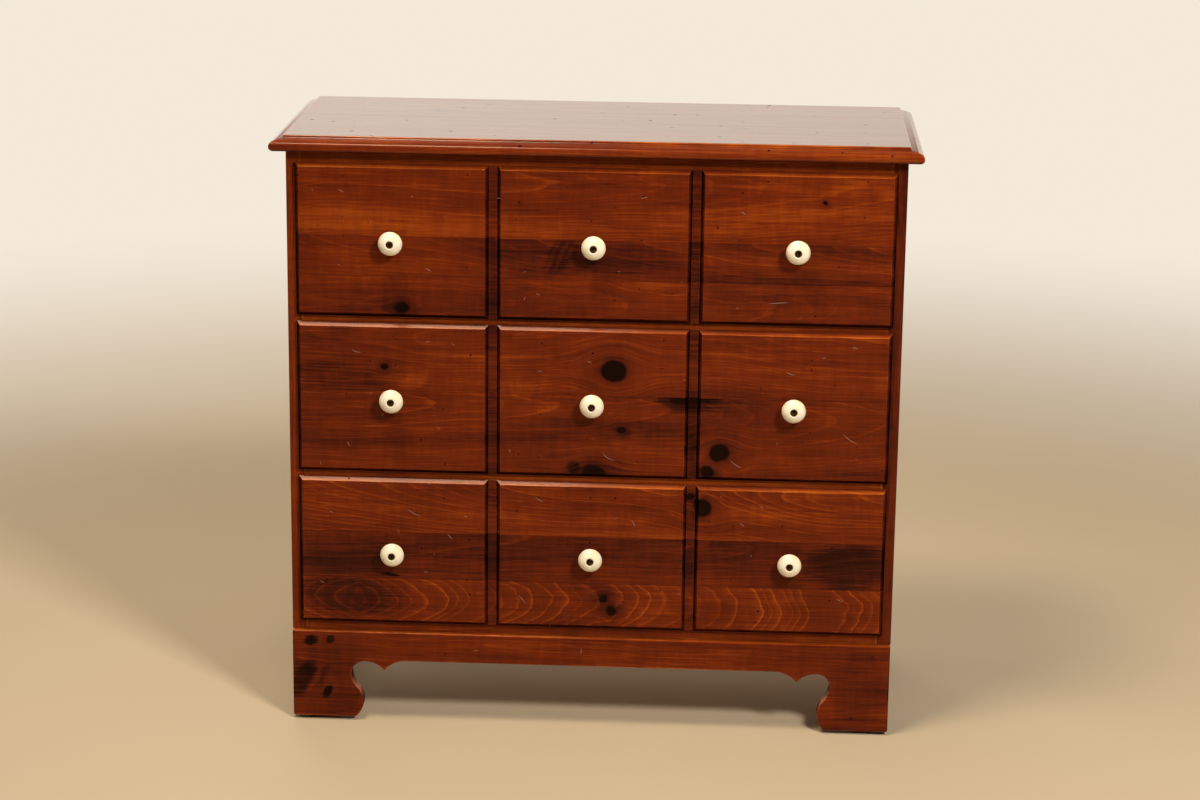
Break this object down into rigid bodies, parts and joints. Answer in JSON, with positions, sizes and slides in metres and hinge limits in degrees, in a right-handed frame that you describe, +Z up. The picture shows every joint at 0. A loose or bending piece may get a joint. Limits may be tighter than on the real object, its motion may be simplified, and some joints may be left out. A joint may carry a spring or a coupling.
{
  "type": "chest of drawers",
  "caption": "Pine apothecary chest with full-width drawers faced as small ones, ceramic knobs, moulded top and bracket feet, for seed and small stores.",
  "frame": {"origin": "on the floor, at the middle of the bounding box, knobs included", "axes": "+X to the chest's width as seen from the front (right), +Y to the back, +Z up; the drawers open to -Y"},
  "size_m": [0.816, 0.3483, 0.774],
  "materials": {
    "stained_pine": "knotty pine, red-brown stain, satin lacquer, lightly distressed",
    "plain_pine": "planed pine without stain",
    "guide_maple": "planed hardwood strip, waxed",
    "plywood": "thin plywood, sanded",
    "white_glaze": "warm white glaze",
    "aged_brass": "antiqued brass",
    "steel_wire": "bright zinc plated",
    "black_glide": "black nylon"
  },
  "bodies": {
    "case": {"top_board": "stained_pine", "base_front": "stained_pine", "left_side": "stained_pine", "right_side": "stained_pine", "back_panel": "plywood", "bottom_rail": "stained_pine", "lower_rail": "stained_pine", "upper_rail": "stained_pine", "top_rail": "stained_pine", "bottom_back_rail": "plain_pine", "lower_back_rail": "plain_pine", "upper_back_rail": "plain_pine", "top_back_rail": "plain_pine", "top_cleat_left": "plain_pine", "top_cleat_right": "plain_pine", "lower_runner_left": "plain_pine", "lower_runner_right": "plain_pine", "lower_guide": "guide_maple", "middle_runner_left": "plain_pine", "middle_runner_right": "plain_pine", "middle_guide": "guide_maple", "upper_runner_left": "plain_pine", "upper_runner_right": "plain_pine", "upper_guide": "guide_maple", "foot_glides": "black_glide", "glue_blocks": "plain_pine", "top_screws": "steel_wire", "back_staples": "steel_wire"},
    "lower_drawer": {"lower_drawer_front": "stained_pine", "lower_drawer_left_side": "plain_pine", "lower_drawer_right_side": "plain_pine", "lower_drawer_bottom": "plywood", "lower_drawer_back": "plain_pine", "lower_drawer_channel": "plain_pine", "lower_drawer_left_knob": "white_glaze", "lower_drawer_centre_knob": "white_glaze", "lower_drawer_right_knob": "white_glaze", "lower_drawer_knob_screws": "aged_brass"},
    "middle_drawer": {"middle_drawer_front": "stained_pine", "middle_drawer_left_side": "plain_pine", "middle_drawer_right_side": "plain_pine", "middle_drawer_bottom": "plywood", "middle_drawer_back": "plain_pine", "middle_drawer_channel": "plain_pine", "middle_drawer_left_knob": "white_glaze", "middle_drawer_centre_knob": "white_glaze", "middle_drawer_right_knob": "white_glaze", "middle_drawer_knob_screws": "aged_brass"},
    "upper_drawer": {"upper_drawer_front": "stained_pine", "upper_drawer_left_side": "plain_pine", "upper_drawer_right_side": "plain_pine", "upper_drawer_bottom": "plywood", "upper_drawer_back": "plain_pine", "upper_drawer_channel": "plain_pine", "upper_drawer_left_knob": "white_glaze", "upper_drawer_centre_knob": "white_glaze", "upper_drawer_right_knob": "white_glaze", "upper_drawer_knob_screws": "aged_brass"}
  },
  "joints": [
    {"name": "lower_drawer_slide", "type": "slide", "parent": "case", "child": "lower_drawer", "axis": [0, -1, 0], "range_m": [0, 0.23]},
    {"name": "middle_drawer_slide", "type": "slide", "parent": "case", "child": "middle_drawer", "axis": [0, -1, 0], "range_m": [0, 0.23]},
    {"name": "upper_drawer_slide", "type": "slide", "parent": "case", "child": "upper_drawer", "axis": [0, -1, 0], "range_m": [0, 0.23]}
  ]
}
